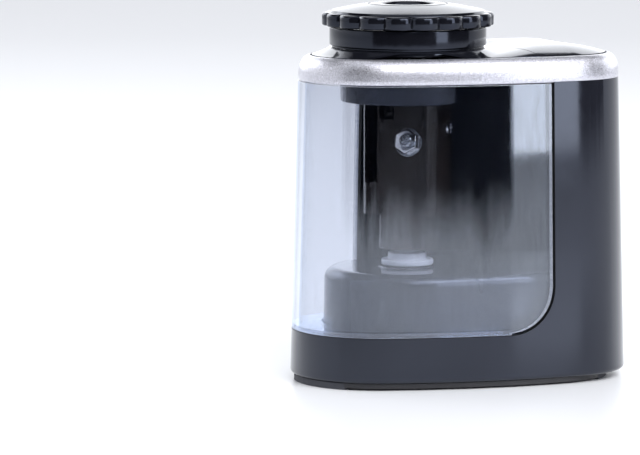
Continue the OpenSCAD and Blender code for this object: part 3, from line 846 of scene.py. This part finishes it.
class SHARPENER_OT_deck(bpy.types.Operator):
    """Deck, the flare under the collar, the ceiling of the bin and the hanging ring"""

    bl_idname = "sharpener.deck"
    bl_label = "Top deck"

    def execute(self, context):
        paint = finishes()["gloss_black"]
        turn, corner = seam_corner(DECK_INSET)
        around = spread(corner, 2 * half_length() - corner, 110)
        outer = [plan_point(a, DECK_INSET) for a in around]
        outer += [seam_point(a, DOOR_SEAM_HALF)
                  for a in spread(2 * math.pi - turn, turn, 60)[1:-1]]
        inner_r = COLLAR_R - 0.9
        rows = []
        for share in [step ** 1.7 for step in spread(0, 1, 26)]:  # closer at the collar
            row = []
            for rim in outer:
                away = Vector((rim.x - AXIS_X, rim.y))
                start = away.normalized() * inner_r
                spot = start + (away - start) * share
                x, y = spot.x + AXIS_X, spot.y
                row.append(Vector((x, y, deck_z(x, y))))
            rows.append(row)
        drop = [Vector((point.x, point.y, point.z - 0.5)) for point in rows[-1]]
        bm, _ = closed_skin(rows + [drop])
        finish_piece(bm, "top_deck", "base", paint, ["top_cover"],
                     centre=(0, 0, 40), wall=1.2, angle=50)
        self.ceiling(paint)
        ring = [(15.2, 70.5), (17.0, 70.5), (17.3, 79.8), (15.2, 79.8)]
        bm = lathe(closed(rounded(ring, 0.35)), 128)
        finish_piece(bm, "cutter_collar_ring", "base", paint, centre=None)
        return {"FINISHED"}

    def ceiling(self, paint):
        """The plate that closes the bin from above, open over the batteries"""
        half = half_length()
        stations = spread(-half, half, 120)[:-1]
        outer = [Vector((*plan_point(a, 3.0), CEILING_Z)) for a in stations]
        hole_r = 14.0
        inner = []
        for point in outer:
            away = Vector((point.x - AXIS_X, point.y, 0)).normalized()
            inner.append(Vector((AXIS_X + hole_r * away.x, hole_r * away.y, CEILING_Z)))
        bm, _ = closed_skin([outer, inner])
        bmesh.ops.bisect_plane(bm, geom=bm.verts[:] + bm.edges[:] + bm.faces[:],
                               plane_co=(21.0, 0, 0), plane_no=(1, 0, 0), clear_outer=True)
        finish_piece(bm, "bin_ceiling", "base", paint,
                     centre=(0, 0, 120), wall=1.0)


class SHARPENER_OT_door(bpy.types.Operator):
    """Battery door: the crowned rear of the deck"""

    bl_idname = "sharpener.door"
    bl_label = "Battery door"

    def execute(self, context):
        turn, corner = seam_corner(DECK_INSET)
        across = 72
        start = turn + 0.004
        near_seam = [seam_point(a, -DOOR_SEAM_HALF)
                     for a in spread(start, 2 * math.pi - start, across)]
        corner -= 0.3
        rim = [plan_point(a, DECK_INSET) for a in spread(corner, -corner, across)]
        rows = []
        for share in spread(0, 1, 26):
            row = []
            for start, end in zip(near_seam, rim):
                spot = start + (end - start) * share
                row.append(Vector((spot.x, spot.y, deck_z(spot.x, spot.y))))
            rows.append(row)
        bm = open_sheet(rows)
        finish_piece(bm, "rear_door", "door", finishes()["gloss_black"],
                     ["battery_door"], centre=(20, 0, 0), wall=1.3, edge=0.12, angle=50)
        return {"FINISHED"}


# ---- dial ----


def lobe_reach(turn):
    """Radius of the dial's edge: round lobes that meet in narrow grooves"""
    lobes = bpy.context.scene.sharpener_sizes.lobes
    step = 2 * math.pi / lobes
    off = (turn + step / 2) % step - step / 2
    centre = DIAL_R - size("lobe_radius")
    return centre * math.cos(off) + math.sqrt(
        max(size("lobe_radius") ** 2 - (centre * math.sin(off)) ** 2, 0))


class SHARPENER_OT_dial(bpy.types.Operator):
    """Collar, scalloped dial, cap and pencil insert"""

    bl_idname = "sharpener.dial"
    bl_label = "Dial"

    def execute(self, context):
        paint = finishes()["dial_black"]
        collar = [(HOLE_R, COLLAR_Z - 0.1), (COLLAR_R - 0.5, COLLAR_Z - 0.1),
                  (COLLAR_R - 0.5, COLLAR_Z + 0.35), (COLLAR_R, COLLAR_Z + 0.5),
                  (COLLAR_R, DIAL_Z - 0.35), (HOLE_R, DIAL_Z - 0.35)]
        finish_piece(lathe(closed(rounded(collar, 0.25))), "dial_collar_ring", "base",
                     paint, ["dial_collar"], centre=None)
        self.lobed_ring(paint)
        cap_low = DIAL_Z + 3.35
        profile = [(10.0, cap_low - 0.5), (COLLAR_R - 0.1, cap_low - 0.5),
                   (COLLAR_R - 0.1, cap_low)]
        for r in spread(COLLAR_R - 0.6, 10.35, 12):
            profile.append((r, self.cap_z(r)))
        profile.append((10.05, self.cap_z(10.1) - 0.35))
        finish_piece(lathe(closed(profile)), "dial_cap_disc", "dial_group",
                     paint, ["dial_cap"], centre=None, edge=0.15, angle=25)
        top = self.cap_z(10)
        insert = [(9.85, top - 3.0), (9.85, top - 0.25), (9.55, top), (7.6, top + 0.05),
                  (6.6, top - 0.25), (5.0, top - 1.7), (4.1, top - 2.6), (4.1, top - 8.6),
                  (6.2, top - 8.6), (6.2, top - 3.0)]
        finish_piece(lathe(closed(rounded(insert, 0.3, 3))), "pencil_insert", "dial_group",
                     paint, ["pencil_guide"], centre=None)
        return {"FINISHED"}

    def cap_z(self, r):
        """Height of the crowned cap"""
        crown_r = 82.0
        return TOP_Z - 0.25 - crown_r + math.sqrt(crown_r * crown_r - r * r)

    def lobed_ring(self, paint):
        """The ring of finger lobes: plain circles inside, rounded lobes outside"""
        lobes = bpy.context.scene.sharpener_sizes.lobes
        turns = spread(0, 2 * math.pi, lobes * 14)[:-1]
        top = DIAL_Z + 3.3
        hole = 16.5
        plain = COLLAR_R - 0.2
        below = [(DIAL_Z + 1.0, hole), (DIAL_Z, hole)]
        lobed = [(DIAL_Z, -0.45), (DIAL_Z + 0.12, -0.16), (DIAL_Z + 0.4, 0.0),
                 (top - 0.75, 0.0), (top - 0.4, -0.08), (top - 0.14, -0.32), (top - 0.02, -0.7)]
        above = [(top, plain), (top - 0.6, plain - 0.4), (top - 0.6, hole)]
        levels = [(z, [r for _ in turns]) for z, r in below]
        levels += [(z, [lobe_reach(turn) + offset for turn in turns]) for z, offset in lobed]
        levels += [(z, [r for _ in turns]) for z, r in above]
        rows = [[Vector((AXIS_X + r * math.cos(turn), r * math.sin(turn), z))
                 for turn, r in zip(turns, reaches)] for z, reaches in levels]
        bm, _ = closed_skin(rows + rows[:1])
        finish_piece(bm, "lobed_dial", "dial_group", paint, ["dial"],
                     centre=None, angle=40)


# ---- clear bin ----


class SHARPENER_OT_bin(bpy.types.Operator):
    """Clear shavings bin: nose, window and floor in one thick wall"""

    bl_idname = "sharpener.bin"
    bl_label = "Shavings bin"

    def execute(self, context):
        gap = size("seam_gap")
        low, high = FLOOR_Z + 0.15, BAND_Z - 0.2
        half = half_length()
        far = along_at(size("far_edge_x") - gap)
        corner_z = FLOOR_Z + size("window_corner")
        heights = [corner_z - (corner_z - low) * math.cos(math.radians(turn))
                   for turn in spread(0, 90, 12)]
        heights += spread(corner_z, high, 10)[1:]
        rows = []
        for z in heights:
            near = 2 * half - along_at(window_edge(z, gap))
            rows.append([body_point(a, z, 0.04) for a in spread(far, near, 110)])
        bm = open_sheet(rows)
        start = far + 0.2
        end = 2 * half - along_at(size("window_x") - size("window_corner"))
        outer = [body_point(a, low, 0.3) for a in spread(start, end, 90)]
        inner = [cover_point(nearest_cover_share(point), -0.5, low) for point in outer]
        # The rim faces of the clear wall carry the painted highlight of the cut edge
        bin_piece = finish_piece(bm, "clear_bin_wall", "bin",
                                 finishes()["clear_styrene"], ["shavings_bin"],
                                 centre=(0, 0, 45), wall=size("bin_wall"), edge=0.3, angle=50,
                                 rim=finishes()["clear_edge"])
        bin_piece.modifiers["Soft edges"].segments = 3
        bm = open_sheet([outer, inner])
        finish_piece(bm, "clear_bin_floor", "bin", finishes()["clear_styrene"],
                     centre=(0, 0, 100), wall=1.2)
        return {"FINISHED"}


# ---- coupling and cutter ----


class SHARPENER_OT_cutter(bpy.types.Operator):
    """White drive coupling and the bright nut on the smoked cutter"""

    bl_idname = "sharpener.cutter"
    bl_label = "Cutter"

    def execute(self, context):
        low, high = box_mm("drive_coupling")
        profile = [(2.0, low.z), (6.6, low.z), (6.6, low.z + 1.4), (4.95, low.z + 1.45),
                   (4.85, low.z + 3.2), (3.1, low.z + 3.25), (3.0, high.z), (2.0, high.z)]
        bm = lathe(closed(rounded(profile, 0.35, 4)), 72)
        finish_piece(bm, "nylon_coupling", "output", finishes()["nylon"],
                     ["drive_coupling"], centre=None)
        self.nut()
        return {"FINISHED"}

    def nut(self):
        """A chamfered hexagon nut with a pressed washer, square to the leaning blade"""
        low, high = box_mm("blade_nut")
        middle = (low + high) / 2
        turn = math.radians(-45)
        lean = math.radians(-11.5)
        bm = bmesh.new()
        bmesh.ops.create_cone(bm, cap_ends=True, segments=6, radius1=3.15, radius2=3.15, depth=2.3)
        bmesh.ops.bevel(bm, geom=bm.edges[:], offset=0.28, segments=3, profile=0.5,
                        affect="EDGES", material=-1)
        washer = bmesh.ops.create_cone(bm, cap_ends=True, segments=48, radius1=3.7,
                                       radius2=3.55, depth=0.5)["verts"]
        bmesh.ops.translate(bm, verts=washer, vec=(0, 0, 1.1))
        stud = bmesh.ops.create_cone(bm, cap_ends=True, segments=32, radius1=1.25,
                                     radius2=1.5, depth=0.5)["verts"]
        bmesh.ops.translate(bm, verts=stud, vec=(0, 0, -1.35))
        place = (Matrix.Translation(middle) @ Matrix.Rotation(turn, 4, "Z")
                 @ Matrix.Rotation(lean, 4, "X") @ Matrix.Rotation(-math.pi / 2, 4, "X"))
        bmesh.ops.transform(bm, matrix=place, verts=bm.verts)
        finish_piece(bm, "hex_nut", "cutter", finishes()["zinc_plate"],
                     ["blade_nut"], centre=None, edge=0.08)


# ---- finishes of the frame parts ----

NODE_FINISH = {
    "bottom_plate": "base_black", "foot_nose": "foot_rubber", "foot_near": "foot_rubber",
    "foot_far": "foot_rubber", "base_screw_1": "zinc_plate", "base_screw_2": "zinc_plate",
    "base_screw_3": "zinc_plate", "lower_bush": "bronze", "upper_bush": "bronze",
    "output_shaft": "shaft_steel", "crown_gear": "acetal", "motor_cradle": "base_black",
    "motor_can": "motor_steel", "motor_end_cap": "end_cap_blue", "motor_shaft": "shaft_steel",
    "pinion": "brass", "motor_terminal_1": "brass", "motor_terminal_2": "brass",
    "suppressor": "ceramic", "battery_tray": "base_black", "cell_1": "cell_wrap",
    "cell_2": "cell_wrap", "tray_spring": "contact_plate", "tray_plate": "contact_plate",
    "door_bridge": "contact_plate", "press_ring": "base_black",
    "return_spring": "contact_plate", "cutter_holder": "smoked_styrene",
    "blade": "blade_steel", "blade_screw": "zinc_plate", "stop_screw": "zinc_plate",
    "start_switch": "switch_blue", "switch_plunger": "switch_red",
    "lead_red": "wire_red", "lead_black": "wire_black",
}


class SHARPENER_OT_finishes(bpy.types.Operator):
    """Gives each part of the frame that stays visible its finish"""

    bl_idname = "sharpener.finishes"
    bl_label = "Frame finishes"

    def execute(self, context):
        store = finishes()
        for node, name in NODE_FINISH.items():
            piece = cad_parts[node]
            for spot in piece.material_slots:
                spot.material = store[name]
        return {"FINISHED"}


# ---- stage ----


# Places in metres, and turns in degrees counted from +X, with the window at -90
SUBJECT = (0, 0, 0.045)
STRIP_TURN = -64
STRIP_REACH = 0.5
STRIP_Z = 0.31
DARK_REACH = 0.45
DARK_EDGE = 0.02  # width of the soft lower edge
DARK_CARDS = {  # first and last turn, height of the lower edge, height of the top
    "left_card": (-165, -106, 0.006, 0.6),
    "front_card": (-106, -73, 0.006, 0.13),
    "right_card": (-55, -14, 0.030, 0.6),
}
CARD_BLACK = {
    "Base Color": (0.004, 0.005, 0.008, 1), "Roughness": 1.0, "Specular IOR Level": 0.0}
CARD_WHITE = {
    "Base Color": (1, 1, 1, 1), "Emission Strength": 1.2, "Emission Color": (0.96, 0.98, 1.0, 1)}
CAMERA_PLACE = (-0.4346, -0.9982, 0.1663)
CAMERA_TURN = -21.75
CAMERA_DIP = 6.745
CAMERA_LENS = 242


def place_at(turn, reach, z):
    """A point at a turn and a distance from the middle of the object"""
    angle = math.radians(turn)
    return Vector((reach * math.cos(angle), reach * math.sin(angle), z))


def soft_light(name, place, target, width, height, power, light_colour):
    """A rectangular soft light that faces a point"""
    data = bpy.data.lights.new(name, "AREA")
    data.shape = "RECTANGLE"
    data.size = width
    data.size_y = height
    data.energy = power
    data.color = light_colour
    light = bpy.data.objects.new(name, data)
    light.location = place
    light.rotation_euler = (Vector(target) - Vector(place)).to_track_quat("-Z", "Y").to_euler()
    bpy.context.scene.collection.objects.link(light)


def bent_card(name, start, end, reach, low, high, material):
    """An upright bent card that only reflections see"""
    bm = open_sheet([[place_at(turn, reach, z) for turn in spread(start, end, 24)]
                     for z in (low, high)])
    card = mesh_object(bm, name, [material])
    card.visible_camera = False
    card.visible_diffuse = False
    card.visible_shadow = False
    card.visible_transmission = False


class SHARPENER_OT_stage(bpy.types.Operator):
    """Pale table, soft studio light and the camera"""

    bl_idname = "sharpener.stage"
    bl_label = "Stage"

    def execute(self, context):
        scene = context.scene
        self.table()
        self.surroundings(scene)
        soft_light("main_panel", (0.14, -0.66, 0.72), SUBJECT, 0.95, 0.5, 9.0, (1, 0.99, 0.98))
        soft_light("back_panel", (-0.5, 0.9, 0.6), SUBJECT, 0.8, 0.5, 3.0, (0.96, 0.97, 1))
        soft_light("front_strip", place_at(STRIP_TURN, STRIP_REACH, STRIP_Z), (0, 0, STRIP_Z),
                   0.16, 0.55, 1.0, (0.92, 0.95, 1))
        self.dark_cards()
        white = Finish("white_card", **CARD_WHITE)
        black = Finish("black_card", **CARD_BLACK)
        bent_card("rear_card", 0, 125, 1.2, 0.1, 0.80, white.material)
        bent_card("upper_card", 0, 170, 1.0, 0.70, 1.8, black.material)
        self.camera(scene)
        scene.view_settings.view_transform = "Standard"
        return {"FINISHED"}

    def table(self):
        """A wide pale table top"""
        made = Finish("table_paper", **{
            "Base Color": tint("backdrop"), "Specular IOR Level": 0.12, "Roughness": 0.3})
        made.link(Normal=made.bump(made.noise(0.3, 3), 0.05, 0.02))
        bm = bmesh.new()
        bmesh.ops.create_grid(bm, x_segments=8, y_segments=8, size=6)
        mesh_object(bm, "table_top", [made.material])

    def dark_cards(self):
        """Black cards in front with a soft, slightly uneven lower edge"""
        for name, (start, end, lower_edge, top) in DARK_CARDS.items():
            made = Finish(name, **CARD_BLACK)
            height = made.add("ShaderNodeSeparateXYZ", {"Vector": made.place}).outputs["Z"]
            uneven = made.span(made.noise(0.02, 3), -0.006, 0.006)
            edge = made.add("ShaderNodeMath", {0: height, 1: uneven}, operation="ADD").outputs[0]
            made.link(Alpha=made.span(edge, 0.0, 1.0, lower_edge, lower_edge + DARK_EDGE))
            bent_card(name, start, end, DARK_REACH, 0.001, top, made.material)

    def camera(self, scene):
        """A long lens that looks slightly down at the window and the nose"""
        data = bpy.data.cameras.new("camera")
        data.sensor_width = 36
        data.lens = CAMERA_LENS
        data.clip_start = 0.01
        data.clip_end = 50
        camera = bpy.data.objects.new("camera", data)
        camera.location = CAMERA_PLACE
        camera.rotation_euler = (math.radians(90 - CAMERA_DIP), 0, math.radians(CAMERA_TURN))
        scene.collection.objects.link(camera)
        scene.camera = camera

    def surroundings(self, scene):
        """An even pale room, dimmer in front of the object"""
        world = bpy.data.worlds.new("pale_room")
        world.use_nodes = True
        tree = world.node_tree
        tree.nodes.clear()
        place = add_node(tree, "ShaderNodeTexCoord").outputs["Generated"]
        parts = add_node(tree, "ShaderNodeSeparateXYZ", {"Vector": place})
        depth = add_node(tree, "ShaderNodeMapRange", {
            "Value": parts.outputs["Y"], "From Min": -1.0, "From Max": 1.0})
        ramp = add_node(tree, "ShaderNodeValToRGB", {"Fac": depth.outputs[0]})
        front, rear = ramp.color_ramp.elements
        front.position, front.color = 0.15, (0.50, 0.52, 0.58, 1)
        rear.position, rear.color = 0.6, (0.96, 0.97, 1.0, 1)
        glow = add_node(tree, "ShaderNodeBackground", {"Color": ramp.outputs[0], "Strength": 1.04})
        add_node(tree, "ShaderNodeOutputWorld", {"Surface": glow.outputs[0]})
        scene.world = world


class SHARPENER_PT_panel(bpy.types.Panel):
    """Lists the pieces in the sidebar"""

    bl_label = "Pencil sharpener"
    bl_idname = "SHARPENER_PT_panel"
    bl_space_type = "VIEW_3D"
    bl_region_type = "UI"
    bl_category = "Sharpener"

    def draw(self, context):
        for group in (context.scene.sharpener_sizes, context.scene.sharpener_colours):
            for name in group.__annotations__:
                self.layout.prop(group, name)
        for operator in OPERATORS:
            self.layout.operator(operator.bl_idname)


OPERATORS = (
    SHARPENER_OT_stage,
    SHARPENER_OT_shell,
    SHARPENER_OT_gear_cover,
    SHARPENER_OT_band,
    SHARPENER_OT_deck,
    SHARPENER_OT_door,
    SHARPENER_OT_dial,
    SHARPENER_OT_bin,
    SHARPENER_OT_cutter,
    SHARPENER_OT_finishes,
)
CLASSES = (SharpenerSizes, SharpenerColours, *OPERATORS, SHARPENER_PT_panel)


def register():
    """Adds the settings, the operators and the panel"""
    for item in CLASSES:
        bpy.utils.register_class(item)
    bpy.types.Scene.sharpener_sizes = bpy.props.PointerProperty(type=SharpenerSizes)
    bpy.types.Scene.sharpener_colours = bpy.props.PointerProperty(type=SharpenerColours)


def unregister():
    """Takes them away again"""
    del bpy.types.Scene.sharpener_colours
    del bpy.types.Scene.sharpener_sizes
    for item in reversed(CLASSES):
        bpy.utils.unregister_class(item)


def main():
    """Builds every piece in order"""
    register()
    bpy.ops.sharpener.stage()
    bpy.ops.sharpener.shell()
    bpy.ops.sharpener.gear_cover()
    bpy.ops.sharpener.band()
    bpy.ops.sharpener.deck()
    bpy.ops.sharpener.door()
    bpy.ops.sharpener.dial()
    bpy.ops.sharpener.bin()
    bpy.ops.sharpener.cutter()
    bpy.ops.sharpener.finishes()


if __name__ == "__main__":
    main()
